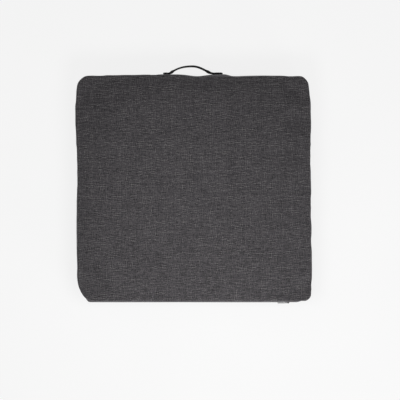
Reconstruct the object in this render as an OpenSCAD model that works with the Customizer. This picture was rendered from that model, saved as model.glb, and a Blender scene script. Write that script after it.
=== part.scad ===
// Square box floor cushion: a foam and wadding filling in a fabric cover, with a webbing
// carry handle sewn to one side wall and a zip along the opposite one.
// The cushion lies flat, +Z is up, and the origin is the centre of its underside.
// +Y is the handle side and -Y is the zip side.

/* [Cushion] */
// Width across the swell of the side walls
cushion_w = 600; // [520:2:680]
// Depth from the handle wall to the zip wall, handle left out
cushion_d = 582; // [520:2:680]
// Height at the middle of the top panel
cushion_h = 125; // [115:1:150]
// How far the side walls swell out past the seams
wall_bulge = 10; // [4:1:14]
// How far the top panel rises from its seams to its middle
crown = 12; // [4:1:18]
// Height of the bottom seam above the floor
bottom_seam_h = 12; // [6:1:14]
// Width of the rolled edge between the bottom seam and the flat underside
bottom_roll_w = 30; // [20:1:60]
// Radius of the upright corners, seen from above
corner_r = 24; // [14:1:40]
// Height of the upright flat band at mid wall, which carries the handle and the zip
wall_flat_h = 38; // [36:1:44]

/* [Layers] */
// Thickness of the cover fabric
cover_t = 1.2; // [0.8:0.1:1.6]
// Play between the cover's side walls and the filling
filling_play = 4; // [3.5:0.1:6]
// Thickness of the inner liner
liner_t = 0.5; // [0.3:0.1:1]
// Thickness of the fibre wadding
wadding_t = 10; // [6:1:16]

/* [Handle] */
// Width of the handle webbing
strap_w = 30; // [24:1:34]
// Thickness of the handle webbing
strap_t = 3; // [2:0.1:3.5]
// Clear height under the top of the handle loop
loop_h = 20.5; // [18:0.5:24]
// Length of the end that is sewn down at the left
sewn_left_l = 12; // [10:1:16]
// Length of the end that is sewn down at the right
sewn_right_l = 20; // [14:1:24]
// Position of the loop's left foot from the middle of the wall
loop_left_x = -64; // [-70:1:-60]
// Position of the loop's top from the middle of the wall
loop_top_x = -3; // [-8:1:4]
// Position of the loop's right foot from the middle of the wall
loop_right_x = 54; // [50:1:60]

/* [Zip] */
// Length of the zip's chain
chain_l = 500; // [420:2:500]
// Width of each half of the chain
coil_w = 3; // [2.6:0.1:3.2]
// Thickness of the chain
coil_t = 1.8; // [1.6:0.1:2.2]
// Space between the two halves, which the slider's bridge runs in
coil_gap = 1.2; // [1.2:0.1:1.4]
// Width of each tape
tape_w = 15; // [12:0.5:15]
// Thickness of each tape
tape_t = 0.8; // [0.5:0.1:0.9]
// Length of the slider
slider_l = 13; // [12:0.5:14]
// Length of the pull tab
pull_l = 28; // [20:1:36]

/* [Hidden] */

$fn = 48;
big = 1000;

// Heights
top_seam_h = cushion_h - crown;
mid_h = (bottom_seam_h + top_seam_h) / 2;
flat_low = mid_h - wall_flat_h / 2;
flat_high = mid_h + wall_flat_h / 2;

// Steps along the curved stretches of the section outline
roll_steps = 4;
bulge_steps = 5;
crown_steps = 8;
corner_steps = 6;
// How sharply the crown falls towards the seams
crown_power = 3;

// Filling: distances of each layer's outer face from the cushion's own surface
liner_side = cover_t + filling_play;
wadding_side = liner_side + liner_t;
wadding_face = cover_t + liner_t;
foam_side = wadding_side + wadding_t;
foam_face = wadding_face + wadding_t;
wadding_joint_x = cushion_w / 2 - wall_bulge - foam_side;

// Handle wall and zip wall
handle_wall_y = cushion_d / 2;
zip_wall_y = -cushion_d / 2;
corner_reach = 40;

// Handle: the loop is two curves, from the left foot to the top and from there to the right
// foot. Each pull is how far a curve's end keeps to its own direction.
strap_steps = 14;
left_foot_pull = 10;
left_top_pull = 44;
right_top_pull = 25;
right_foot_pull = 14;
foot_y = cushion_d / 2 + strap_t / 2;
top_y = foot_y + loop_h;
left_curve = [[loop_left_x, foot_y], [loop_left_x + left_foot_pull, foot_y],
              [loop_top_x - left_top_pull, top_y], [loop_top_x, top_y]];
right_curve = [[loop_top_x, top_y], [loop_top_x + right_top_pull, top_y],
               [loop_right_x - right_foot_pull, foot_y], [loop_right_x, foot_y]];
// The grip's ends, as places along the two curves
grip_start = 0.75;
grip_end = 1.25;
stitch_l = 2.6;
stitch_w = 0.7;
stitch_t = 0.4;
stitch_pitch = 3.6;
stitch_inset = 2.5;
backing_t = 1;
backing_margin = 4;

// Zip
clearance = 0.3;
slot_l = chain_l + 16;
slot_h = 11;
tape_l = chain_l + 36;
tape_y = zip_wall_y + cover_t;
coil_inner = coil_gap / 2;
coil_outer = coil_inner + coil_w;
stop_l = 4;
slider_w = 10;
plate_t = 1.2;
flange_t = 1;
bridge_t = coil_gap - 2 * clearance;
bridge_l = 2;
slider_x = chain_l / 2 - slider_l / 2 - 1.5;
outer_plate_y = tape_y - coil_t - clearance - plate_t;
inner_plate_y = tape_y + tape_t + clearance;
pull_w = 8;
pull_t = 1.2;
pull_pin_r = 0.6;
pull_bore_r = 0.65;
pull_eye_r = 1.15;
pull_neck_w = 3.8;
pull_neck_l = 9;
pull_pin_x = slider_x + 2;
pull_pin_y = outer_plate_y - pull_eye_r - clearance;
lug_t = 1;
lug_r = 1.2;

// Colours
cover_grey = [0.28, 0.28, 0.29];
webbing_grey = [0.13, 0.13, 0.14];
thread_grey = [0.2, 0.2, 0.21];
tape_grey = [0.16, 0.16, 0.17];
coil_grey = [0.1, 0.1, 0.11];
metal_grey = [0.2, 0.2, 0.21];
liner_white = [0.86, 0.86, 0.84];
wadding_white = [0.95, 0.95, 0.94];
foam_cream = [0.93, 0.88, 0.7];

// Right half of a cross-section, from the flat underside up to the middle of the crown.
// side and face set it in from the cushion's own side and top or bottom surfaces.
function half_section(half, side, face) =
  let (seam_x = half - wall_bulge - side)
  concat(
    [for (i = [0 : roll_steps]) let (t = i / roll_steps)
      [seam_x + bottom_roll_w * (t - 1), face + bottom_seam_h * t * t]],
    [for (i = [1 : bulge_steps]) let (t = i / bulge_steps)
      [half - side - wall_bulge * pow(1 - t, 2),
       face + bottom_seam_h + (flat_low - face - bottom_seam_h) * t]],
    [for (i = [0 : bulge_steps]) let (t = i / bulge_steps)
      [half - side - wall_bulge * t * t, flat_high + (top_seam_h - face - flat_high) * t]],
    [for (i = [1 : crown_steps]) let (t = i / crown_steps)
      [seam_x * (1 - t), cushion_h - face - crown * pow(1 - t, crown_power)]]
  );

// Whole cross-section: the half and its mirror image
function section(half, side, face) =
  let (right = half_section(half, side, face), last = len(right) - 1)
  concat(right, [for (i = [last - 1 : -1 : 0]) [-right[i][0], right[i][1]]]);

// Plan outline: a rectangle with round corners
function plan_outline(half_w, half_d) =
  [for (quarter = [0 : 3], i = [0 : corner_steps])
    let (a = 90 * quarter + 90 * i / corner_steps,
         sx = (quarter == 0 || quarter == 3) ? 1 : -1,
         sy = quarter < 2 ? 1 : -1)
    [sx * (half_w - corner_r) + corner_r * cos(a), sy * (half_d - corner_r) + corner_r * sin(a)]];

// The cushion's closed form, set in by side and face
module cushion_form(side, face) {
  intersection() {
    rotate([90, 0, 0])
      linear_extrude(cushion_d + 2, center = true)
        polygon(section(cushion_w / 2, side, face));
    rotate([90, 0, 90])
      linear_extrude(cushion_w + 2, center = true)
        polygon(section(cushion_d / 2, side, face));
    linear_extrude(cushion_h)
      polygon(plan_outline(cushion_w / 2 - side, cushion_d / 2 - side));
  }
}

// A layer of the cushion between two closed forms
module layer(side, face, inner_side, inner_face) {
  difference() {
    cushion_form(side, face);
    cushion_form(inner_side, inner_face);
  }
}

// Everything between two heights
module between(low, high) {
  translate([-big / 2, -big / 2, low])
    cube([big, big, high - low]);
}

// The cover's fabric between two heights
module cover_band(low, high) {
  intersection() {
    layer(0, 0, cover_t, cover_t);
    between(low, high);
  }
}

// Wedge of space in front of one side wall, which ends on the diagonals of the corners
module wall_wedge(half_run, half_out) {
  linear_extrude(cushion_h)
    polygon([
      [-half_run - corner_reach, half_out + corner_reach],
      [half_run + corner_reach, half_out + corner_reach],
      [half_run - corner_reach, half_out - corner_reach],
      [-half_run + corner_reach, half_out - corner_reach]
    ]);
}

// One side wall of the cover, turned to face the angle turn
module side_wall(turn, half_run, half_out) {
  intersection() {
    cover_band(bottom_seam_h + cover_t, top_seam_h - cover_t);
    rotate([0, 0, turn])
      wall_wedge(half_run, half_out);
  }
}

module top_panel() {
  color(cover_grey)
    cover_band(top_seam_h - cover_t, cushion_h);
}

module bottom_panel() {
  color(cover_grey)
    cover_band(0, bottom_seam_h + cover_t);
}

module side_wall_handle() {
  color(cover_grey)
    side_wall(0, cushion_w / 2, cushion_d / 2);
}

module side_wall_left() {
  color(cover_grey)
    side_wall(90, cushion_d / 2, cushion_w / 2);
}

module side_wall_right() {
  color(cover_grey)
    side_wall(-90, cushion_d / 2, cushion_w / 2);
}

// Half of the zip wall: the two halves are sewn to each other past the ends of the zip's slot
module side_wall_zip(low, high) {
  color(cover_grey)
    difference() {
      intersection() {
        side_wall(180, cushion_w / 2, cushion_d / 2);
        between(low, high);
      }
      translate([-slot_l / 2, zip_wall_y - 1, mid_h - slot_h / 2])
        cube([slot_l, cover_t + 2, slot_h]);
    }
}

module side_wall_zip_upper() {
  side_wall_zip(mid_h, cushion_h);
}

module side_wall_zip_lower() {
  side_wall_zip(0, mid_h);
}

// Zip tape on one side of the chain, behind the wall's fabric
module zip_tape(side) {
  color(tape_grey)
    translate([-tape_l / 2, tape_y, mid_h + (side > 0 ? coil_inner : -coil_inner - tape_w)])
      cube([tape_l, tape_t, tape_w]);
}

module zip_tape_upper() {
  zip_tape(1);
}

module zip_tape_lower() {
  zip_tape(-1);
}

// Section of half the chain, as [height from the zip's middle, distance out of its tape],
// with its outer edges taken off
function coil_section() =
  let (edge = coil_t / 3)
  [[coil_inner, 0], [coil_outer, 0], [coil_outer, coil_t - edge],
   [coil_outer - edge, coil_t], [coil_inner + edge, coil_t], [coil_inner, coil_t - edge]];

// Half of the zip's chain
module zip_coil(side) {
  color(coil_grey)
    translate([-chain_l / 2, tape_y, mid_h])
      rotate([90, 0, 90])
        linear_extrude(chain_l)
          polygon([for (p = coil_section()) [-p[1], side * p[0]]]);
}

module zip_coil_upper() {
  zip_coil(1);
}

module zip_coil_lower() {
  zip_coil(-1);
}

module zip_top_stops() {
  color(metal_grey)
    for (side = [-1, 1])
      translate([chain_l / 2, tape_y - coil_t, mid_h + (side > 0 ? coil_inner : -coil_outer)])
        cube([stop_l, coil_t, coil_w]);
}

module zip_bottom_stop() {
  color(metal_grey)
    translate([-chain_l / 2 - stop_l, tape_y - coil_t, mid_h - coil_outer])
      cube([stop_l, coil_t, 2 * coil_outer]);
}

// Plate of the slider, wider at the nose than at the tail
module slider_plate(y) {
  tail_w = slider_w * 0.8;
  translate([slider_x, y + plate_t, mid_h])
    rotate([90, 0, 0])
      linear_extrude(plate_t)
        polygon([
          [-slider_l / 2, -tail_w / 2], [0, -slider_w / 2],
          [slider_l / 2 - 2, -slider_w / 2], [slider_l / 2, -slider_w / 2 + 2],
          [slider_l / 2, slider_w / 2 - 2], [slider_l / 2 - 2, slider_w / 2],
          [0, slider_w / 2], [-slider_l / 2, tail_w / 2]
        ]);
}

// Ear on the slider's outer plate that holds one end of the pull's pin
module pull_lug(z) {
  translate([pull_pin_x, pull_pin_y, z])
    cylinder(h = lug_t, r = lug_r);
  translate([pull_pin_x - lug_r, pull_pin_y, z])
    cube([2 * lug_r, outer_plate_y - pull_pin_y, lug_t]);
}

module zip_slider() {
  lug_z = pull_neck_w / 2 + clearance;
  flange_h = tape_y - clearance - outer_plate_y;
  color(metal_grey)
    union() {
      slider_plate(outer_plate_y);
      slider_plate(inner_plate_y);
      for (side = [-1, 1])
        translate([slider_x, outer_plate_y, mid_h + side * (slider_w - flange_t) / 2 - flange_t / 2])
          cube([slider_l / 2 - 2, flange_h, flange_t]);
      translate([slider_x + slider_l / 2 - 3, outer_plate_y, mid_h - bridge_t / 2])
        cube([bridge_l, inner_plate_y + plate_t - outer_plate_y, bridge_t]);
      pull_lug(mid_h + lug_z);
      pull_lug(mid_h - lug_z - lug_t);
      translate([pull_pin_x, pull_pin_y, mid_h - lug_z - lug_t])
        cylinder(h = 2 * (lug_z + lug_t), r = pull_pin_r);
    }
}

// Pull tab, lying along the zip, with an eye that turns on the slider's pin
module zip_pull() {
  color(metal_grey)
    difference() {
      union() {
        translate([pull_pin_x, pull_pin_y, mid_h - pull_neck_w / 2])
          cylinder(h = pull_neck_w, r = pull_eye_r);
        translate([pull_pin_x - pull_neck_l, pull_pin_y - pull_t / 2, mid_h - pull_neck_w / 2])
          cube([pull_neck_l, pull_t, pull_neck_w]);
        translate([pull_pin_x - pull_neck_l, pull_pin_y + pull_t / 2, mid_h])
          rotate([90, 0, 0])
            linear_extrude(pull_t)
              union() {
                translate([-(pull_l - pull_neck_l - pull_w / 2), -pull_w / 2])
                  square([pull_l - pull_neck_l - pull_w / 2, pull_w]);
                translate([-(pull_l - pull_neck_l - pull_w / 2), 0])
                  circle(d = pull_w);
              }
      }
      translate([pull_pin_x, pull_pin_y, mid_h - pull_neck_w])
        cylinder(h = 2 * pull_neck_w, r = pull_bore_r);
    }
}

// A point of a cubic curve with the four control points c, and its direction there
function curve_point(c, t) =
  pow(1 - t, 3) * c[0] + 3 * pow(1 - t, 2) * t * c[1] + 3 * (1 - t) * t * t * c[2] + pow(t, 3) * c[3];
function curve_direction(c, t) =
  pow(1 - t, 2) * (c[1] - c[0]) + 2 * (1 - t) * t * (c[2] - c[1]) + t * t * (c[3] - c[2]);

// A point of the strap's outer face (side 1) or inner face (side -1), at a place from 0 at
// the left foot, through 1 at the top, to 2 at the right foot
function strap_face(place, side) =
  let (c = place < 1 ? left_curve : right_curve,
       t = place < 1 ? place : place - 1,
       d = curve_direction(c, t))
  curve_point(c, t) + side * strap_t / 2 * [-d[1], d[0]] / norm(d);

// Stretch of the strap between two places
module strap(start, end) {
  places = [for (i = [0 : strap_steps]) start + (end - start) * i / strap_steps];
  color(webbing_grey)
    translate([0, 0, mid_h - strap_w / 2])
      linear_extrude(strap_w)
        polygon(concat(
          [for (place = places) strap_face(place, -1)],
          [for (i = [strap_steps : -1 : 0]) strap_face(places[i], 1)]
        ));
}

// End of the strap that lies flat on the wall and is sewn down
module sewn_end(from_x, length) {
  color(webbing_grey)
    translate([from_x, handle_wall_y, mid_h - strap_w / 2])
      cube([length, strap_t, strap_w]);
}

module handle_end_left() {
  sewn_end(loop_left_x - sewn_left_l, sewn_left_l);
}

module handle_end_right() {
  sewn_end(loop_right_x, sewn_right_l);
}

module handle_bend_left() {
  strap(0, grip_start);
}

module handle_bend_right() {
  strap(grip_end, 2);
}

module handle_grip() {
  strap(grip_start, grip_end);
}

// A row of stitches on the strap's outer face from a to b, both [x, z]. An even number
// leaves a gap at the middle, so that two rows can cross there.
module stitch_row(a, b) {
  run = b - a;
  count = 2 * floor(norm(run) / stitch_pitch / 2);
  for (i = [0 : count - 1]) {
    p = a + run * (i + 0.5) / count;
    translate([p[0], handle_wall_y + strap_t, p[1]])
      rotate([0, -atan2(run[1], run[0]), 0])
        translate([-stitch_l / 2, 0, -stitch_w / 2])
          cube([stitch_l, stitch_t, stitch_w]);
  }
}

// Box of stitches with crossed diagonals on a sewn end
module box_stitching(from_x, length) {
  low = [from_x + stitch_inset, mid_h - strap_w / 2 + stitch_inset];
  high = [from_x + length - stitch_inset, mid_h + strap_w / 2 - stitch_inset];
  color(thread_grey)
    union() {
      stitch_row(low, [high[0], low[1]]);
      stitch_row([high[0], low[1]], high);
      stitch_row(high, [low[0], high[1]]);
      stitch_row([low[0], high[1]], low);
      stitch_row(low + [1, 1], high - [1, 1]);
      stitch_row([low[0] + 1, high[1] - 1], [high[0] - 1, low[1] + 1]);
    }
}

module handle_stitching_left() {
  box_stitching(loop_left_x - sewn_left_l, sewn_left_l);
}

module handle_stitching_right() {
  box_stitching(loop_right_x, sewn_right_l);
}

// Patch inside the wall that spreads the handle's pull
module handle_backing(from_x, length) {
  color(liner_white)
    translate([from_x - backing_margin, handle_wall_y - cover_t - backing_t,
               mid_h - strap_w / 2 - backing_margin / 2])
      cube([length + 2 * backing_margin, backing_t, strap_w + backing_margin]);
}

module handle_backing_left() {
  handle_backing(loop_left_x - sewn_left_l, sewn_left_l);
}

module handle_backing_right() {
  handle_backing(loop_right_x, sewn_right_l);
}

module inner_liner() {
  color(liner_white)
    layer(liner_side, cover_t, wadding_side, wadding_face);
}

// All of the wadding round the foam
module wadding() {
  layer(wadding_side, wadding_face, foam_side, foam_face);
}

// One sheet of wadding round the top, the handle edge, the underside and the zip edge
module wadding_wrap() {
  color(wadding_white)
    intersection() {
      wadding();
      translate([-wadding_joint_x, -big / 2, 0])
        cube([2 * wadding_joint_x, big, cushion_h]);
    }
}

// Strip of wadding that closes one end of the wrap
module wadding_end(side) {
  color(wadding_white)
    intersection() {
      wadding();
      translate([side > 0 ? wadding_joint_x : -wadding_joint_x - big, -big / 2, 0])
        cube([big, big, cushion_h]);
    }
}

module wadding_end_left() {
  wadding_end(-1);
}

module wadding_end_right() {
  wadding_end(1);
}

module foam_core() {
  color(foam_cream)
    cushion_form(foam_side, foam_face);
}

top_panel();
bottom_panel();
side_wall_handle();
side_wall_left();
side_wall_right();
side_wall_zip_upper();
side_wall_zip_lower();
zip_tape_upper();
zip_tape_lower();
zip_coil_upper();
zip_coil_lower();
zip_top_stops();
zip_bottom_stop();
zip_slider();
zip_pull();
handle_end_left();
handle_end_right();
handle_bend_left();
handle_bend_right();
handle_grip();
handle_stitching_left();
handle_stitching_right();
handle_backing_left();
handle_backing_right();
inner_liner();
wadding_wrap();
wadding_end_left();
wadding_end_right();
foam_core();
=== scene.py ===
"""Looks of the square floor cushion, in metres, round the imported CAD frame.

The cover is simulated as one closed cloth, and its panels are then cut from the result along
the seams. Everything else is placed from the frame's own boxes.
"""

import math

import bmesh
import bpy
import numpy as np
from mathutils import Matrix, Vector


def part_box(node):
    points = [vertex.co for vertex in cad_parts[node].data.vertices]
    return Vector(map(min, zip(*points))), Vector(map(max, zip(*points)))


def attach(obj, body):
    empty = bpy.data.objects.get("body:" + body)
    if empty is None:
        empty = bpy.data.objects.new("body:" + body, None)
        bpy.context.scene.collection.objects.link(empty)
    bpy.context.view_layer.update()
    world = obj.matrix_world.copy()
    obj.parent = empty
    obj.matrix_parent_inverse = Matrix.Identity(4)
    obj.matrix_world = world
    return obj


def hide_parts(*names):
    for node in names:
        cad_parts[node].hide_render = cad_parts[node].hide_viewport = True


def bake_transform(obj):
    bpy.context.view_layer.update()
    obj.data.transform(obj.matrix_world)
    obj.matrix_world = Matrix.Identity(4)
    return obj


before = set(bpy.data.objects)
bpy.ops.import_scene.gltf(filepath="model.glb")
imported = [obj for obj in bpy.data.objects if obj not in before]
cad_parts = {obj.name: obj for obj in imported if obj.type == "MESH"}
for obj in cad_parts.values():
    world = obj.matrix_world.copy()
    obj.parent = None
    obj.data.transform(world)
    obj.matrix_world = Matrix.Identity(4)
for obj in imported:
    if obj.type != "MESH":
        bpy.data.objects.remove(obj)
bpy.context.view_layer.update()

scene = bpy.context.scene
scene.view_settings.view_transform = "Standard"

MM = 0.001

# -------- sizes, from the frame
WALL_LOW, WALL_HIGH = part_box("side_wall_left")
HANDLE_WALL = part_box("side_wall_handle")[1].y
ZIP_WALL = -HANDLE_WALL
HALF_W = -WALL_LOW.x
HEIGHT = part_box("top_panel")[1].z
MID = (WALL_LOW.z + WALL_HIGH.z) / 2
COVER_T = 1.2 * MM
BULGE = 10 * MM  # how far the walls stand out from the seams
SEAM_X = HALF_W - BULGE
SEAM_Y = HANDLE_WALL - BULGE
SEAM_LOW, SEAM_HIGH = WALL_LOW.z - 1.2 * MM, WALL_HIGH.z + 1.2 * MM
ALLOWANCE = 8 * MM


# -------- arrays and meshes


def ease(t):
    """From 0 to 1 along a smooth step."""
    t = np.clip(t, 0.0, 1.0)
    return t * t * (3 - 2 * t)


def unit(vectors):
    return vectors / np.maximum(np.linalg.norm(vectors, axis=-1, keepdims=True), 1e-12)


def distances(points):
    """How far each of a line of points is along it."""
    return np.concatenate([[0], np.cumsum(np.linalg.norm(np.diff(points, axis=0), axis=1))])


def waves(places, length, seed):
    """Smooth noise from about -1 to 1 along places, with bumps of about that length."""
    draw = np.random.RandomState(seed)
    total = np.zeros(np.shape(places))
    for octave in range(3):
        for _ in range(3):
            size = length * draw.uniform(0.7, 1.5) / 1.7 ** octave
            total += np.sin(places * 2 * math.pi / size + draw.uniform(0, 2 * math.pi)) / 1.6 ** octave
    return total / 4


def curve_weights(places, count):
    """First of four neighbours, and their weights, at places along count evenly spaced values."""
    first = np.clip(np.floor(places).astype(int), 0, count - 2)
    t = places - first
    return first, (
        -0.5 * t + t ** 2 - 0.5 * t ** 3,
        1 - 2.5 * t ** 2 + 1.5 * t ** 3,
        0.5 * t + 2 * t ** 2 - 1.5 * t ** 3,
        -0.5 * t ** 2 + 0.5 * t ** 3,
    )


def sample(grid, a, b):
    """Values between a grid's points, on smooth curves, at fractional rows a and columns b."""
    padded = np.pad(grid, ((1, 1), (1, 1), (0, 0)), mode="reflect", reflect_type="odd")
    row, row_weights = curve_weights(a, grid.shape[0])
    column, column_weights = curve_weights(b, grid.shape[1])
    out = np.zeros(a.shape + (grid.shape[2],))
    for p in range(4):
        for q in range(4):
            out += (row_weights[p] * column_weights[q])[..., None] * padded[row + p, column + q]
    return out


def numbered(grid):
    """A vertex number for each point of a 2-D grid."""
    return np.arange(grid.size).reshape(grid.shape)


def grid_faces(numbers):
    """Quads over a 2-D array of vertex numbers."""
    a, b, c, d = numbers[:-1, :-1], numbers[1:, :-1], numbers[1:, 1:], numbers[:-1, 1:]
    return np.stack([a, b, c, d], -1).reshape(-1, 4)


def vertex_normals(points, quads):
    corners = points[quads]
    face = np.cross(corners[:, 2] - corners[:, 0], corners[:, 3] - corners[:, 1])
    total = np.zeros_like(points)
    for k in range(4):
        np.add.at(total, quads[:, k], face)
    return unit(total)


def add_object(name, points, faces, uv=None, outward=True):
    """A smooth mesh object. uv gives each vertex its place on the cloth, in metres, and outward
    turns its faces outward."""
    mesh = bpy.data.meshes.new(name)
    mesh.from_pydata(np.asarray(points).tolist(), [], [list(map(int, f)) for f in faces])
    mesh.update()
    if outward:
        b = bmesh.new()
        b.from_mesh(mesh)
        bmesh.ops.recalc_face_normals(b, faces=b.faces)
        b.to_mesh(mesh)
        b.free()
    if uv is not None:
        layer = mesh.uv_layers.new(name="pattern")
        corner = np.zeros(len(mesh.loops), int)
        mesh.loops.foreach_get("vertex_index", corner)
        layer.data.foreach_set("uv", np.asarray(uv, float)[corner].ravel())
    mesh.polygons.foreach_set("use_smooth", [True] * len(mesh.polygons))
    obj = bpy.data.objects.new(name, mesh)
    scene.collection.objects.link(obj)
    return obj


def thick(points, quads, thickness=None, inner=None):
    """Points and faces of a closed sheet. Its middle is at points and it is as thick as that, one
    value or one for each point, or it reaches from points in to inner."""
    if inner is None:
        shift = vertex_normals(points, quads) * thickness / 2
        points, inner = points + shift, points - shift
    edges = np.concatenate([quads[:, [k, (k + 1) % 4]] for k in range(4)])
    seen = set(map(tuple, edges.tolist()))
    rim = sorted((b, a, a + len(points), b + len(points)) for a, b in seen if (b, a) not in seen)
    faces = quads.tolist() + (quads[:, ::-1] + len(points)).tolist() + rim
    return np.concatenate([points, inner]), faces


def add_sheet(name, points, uv, thickness, quads=None):
    """A sheet's mesh object, from a grid of points or from quads over a list of them. Both of its
    sides have the same places on the cloth."""
    if quads is None:
        quads = grid_faces(numbered(points[..., 0]))
        points, uv = points.reshape(-1, 3), uv.reshape(-1, 2)
    solid, faces = thick(points, quads, thickness)
    return add_object(name, solid, faces, np.concatenate([uv, uv]))


def shown_mesh(obj):
    """The mesh that an object's modifiers or curves give."""
    return obj.evaluated_get(bpy.context.evaluated_depsgraph_get()).to_mesh()


def sharp_rims(obj, degrees=50):
    """Edges sharper than that show as edges, and the rest as smooth."""
    obj.data.set_sharp_from_angle(angle=math.radians(degrees))
    return obj


def sweep(path, section, up):
    """Points, faces and cloth places of a section of (side, up) points along a path."""
    path, up, section = (np.asarray(values, float) for values in (path, up, section))
    ahead = unit(np.gradient(path, axis=0))
    side = unit(np.cross(ahead, np.broadcast_to(up, path.shape)))
    over = np.cross(side, ahead)
    points = path[:, None] + side[:, None] * section[:, :1] + over[:, None] * section[:, 1:]
    numbers = np.arange(len(path) * len(section)).reshape(len(path), len(section))
    faces = grid_faces(np.concatenate([numbers, numbers[:, :1]], 1)).tolist()
    faces += [numbers[0].tolist(), numbers[-1][::-1].tolist()]
    uv = np.stack(np.meshgrid(distances(path), distances(section), indexing="ij"), -1)
    return points.reshape(-1, 3), faces, uv.reshape(-1, 2)


def circle(radius):
    """Six points round a circle."""
    angles = np.arange(6) * 2 * math.pi / 6
    return np.stack([np.cos(angles) * radius, np.sin(angles) * radius], 1)


def merged(name, parts):
    """One object of many (points, faces, uv) parts."""
    points, faces, uv, first = [], [], [], 0
    for p, f, u in parts:
        points.append(p)
        faces += [[n + first for n in face] for face in f]
        uv.append(u)
        first += len(p)
    return add_object(name, np.concatenate(points), faces, np.concatenate(uv))


def dress(obj, material, body="cushion", replaced=()):
    """Gives a piece its material and its body, and hides the CAD nodes it stands for."""
    obj.data.materials.append(material)
    if body:
        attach(obj, body)
    if replaced:
        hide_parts(*replaced)
    return obj


# -------- material graphs


class Value:
    """A node's output that arithmetic can be written with."""

    def __init__(self, graph, socket):
        self.graph, self.socket = graph, socket

    def __add__(self, other):
        return self.graph.math("ADD", self, other)

    def __sub__(self, other):
        return self.graph.math("SUBTRACT", self, other)

    def __rsub__(self, other):
        return self.graph.math("SUBTRACT", other, self)

    def __mul__(self, other):
        return self.graph.math("MULTIPLY", self, other)

    def __truediv__(self, other):
        return self.graph.math("DIVIDE", self, other)

    __radd__, __rmul__ = __add__, __mul__


class Graph:
    """The nodes of a material or of the world."""

    def __init__(self, owner):
        owner.use_nodes = True
        self.owner = owner
        self.nodes, self.links = owner.node_tree.nodes, owner.node_tree.links
        self.nodes.clear()

    def feed(self, socket, value):
        if isinstance(value, Value):
            self.links.new(value.socket, socket)
        else:
            socket.default_value = value

    def node(self, kind, inputs=(), output=0, **settings):
        node = self.nodes.new("ShaderNode" + kind)
        for name, value in settings.items():
            setattr(node, name, value)
        for name, value in dict(inputs).items():
            self.feed(node.inputs[name], value)
        return Value(self, node.outputs[output]) if len(node.outputs) else None

    def math(self, operation, *values):
        return self.node("Math", dict(enumerate(values)), operation=operation)

    def vector(self, x, y, z=0.0):
        return self.node("CombineXYZ", {"X": x, "Y": y, "Z": z})

    def cloth_place(self):
        """The place on the cloth, as two values in metres."""
        uv = self.node("UVMap", uv_map="pattern")
        return [self.node("SeparateXYZ", {0: uv}, output=k) for k in (0, 1)]

    def object_place(self):
        return self.node("TexCoord", output=3)

    def noise(self, vector, scale=1.0, detail=2.0, roughness=0.5):
        inputs = {"Vector": vector, "Scale": scale, "Detail": detail, "Roughness": roughness}
        return self.node("TexNoise", inputs)

    def cells(self, vector, scale):
        return self.node("TexVoronoi", {"Vector": vector, "Scale": scale})

    def random(self, value, seed):
        return self.node("TexWhiteNoise", {"W": value + seed}, noise_dimensions="1D")

    def step(self, value, low, high):
        """0 below low and 1 above high, smooth between."""
        inputs = {"Value": value, "From Min": low, "From Max": high}
        return self.node("MapRange", inputs, interpolation_type="SMOOTHSTEP")

    def ramp(self, value, *stops):
        """A colour for each (place, colour)."""
        node = self.nodes.new("ShaderNodeValToRGB")
        elements = node.color_ramp.elements
        for k, (place, colour) in enumerate(stops):
            element = elements[k] if k < 2 else elements.new(place)
            element.position, element.color = place, (*colour, 1)
        self.feed(node.inputs[0], value)
        return Value(self, node.outputs[0])

    def mix(self, factor, a, b):
        node = self.nodes.new("ShaderNodeMix")
        node.data_type = "FLOAT"
        for socket, value in zip((node.inputs[0], node.inputs[2], node.inputs[3]), (factor, a, b)):
            self.feed(socket, value)
        return Value(self, node.outputs[0])

    def finish(self, colour, roughness, height, depth, strength, **more):
        """The shader, with a bump of that height, depth and strength, and what more it takes,
        named with _ for a space. Gives the material."""
        bump = self.node("Bump", {"Height": height, "Distance": depth, "Strength": strength})
        inputs = {"Base Color": colour, "Roughness": roughness, "Normal": bump}
        inputs.update({k.replace("_", " "): v for k, v in more.items()})
        self.node("OutputMaterial", {"Surface": self.node("BsdfPrincipled", inputs)})
        return self.owner


def new_material(name):
    return Graph(bpy.data.materials.new(name))


WARP_PITCH, WEFT_PITCH = 2.05 * MM, 2.30 * MM
SLUBS_A_METRE = 62  # thick places along a yarn
# how much a thick place lightens its own yarn, and how much painted shade it lays on the ones beside it
WEFT_OWN, WEFT_BESIDE_SHADE = 2.30, 0.62
WARP_OWN, WARP_BESIDE_SHADE = 0.95, 0.20


def grey(value, warmth=0.0):
    return (value * (1 + warmth), value, value * (1 - warmth))


def yarn(g, place, width):
    """Height from 0 to 1 across a yarn of that share of its pitch, and 1 inside it."""
    across = (g.math("FRACT", place) - 0.5) / width * 2
    arch = g.math("MAXIMUM", 1 - across * across, 0.0)
    return g.math("SQRT", arch), g.step(arch, 0.0, 0.12)


def wandered(g, distance):
    """The place on the cloth, moved up to that distance, as its yarns aren't quite straight."""
    u, v = g.cloth_place()
    across = g.noise(g.vector(u, v), 47, 2) - 0.5
    along = g.noise(g.vector(v + 3.1, u + 1.7), 47, 2) - 0.5
    return u + across * distance, v + along * distance


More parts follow.
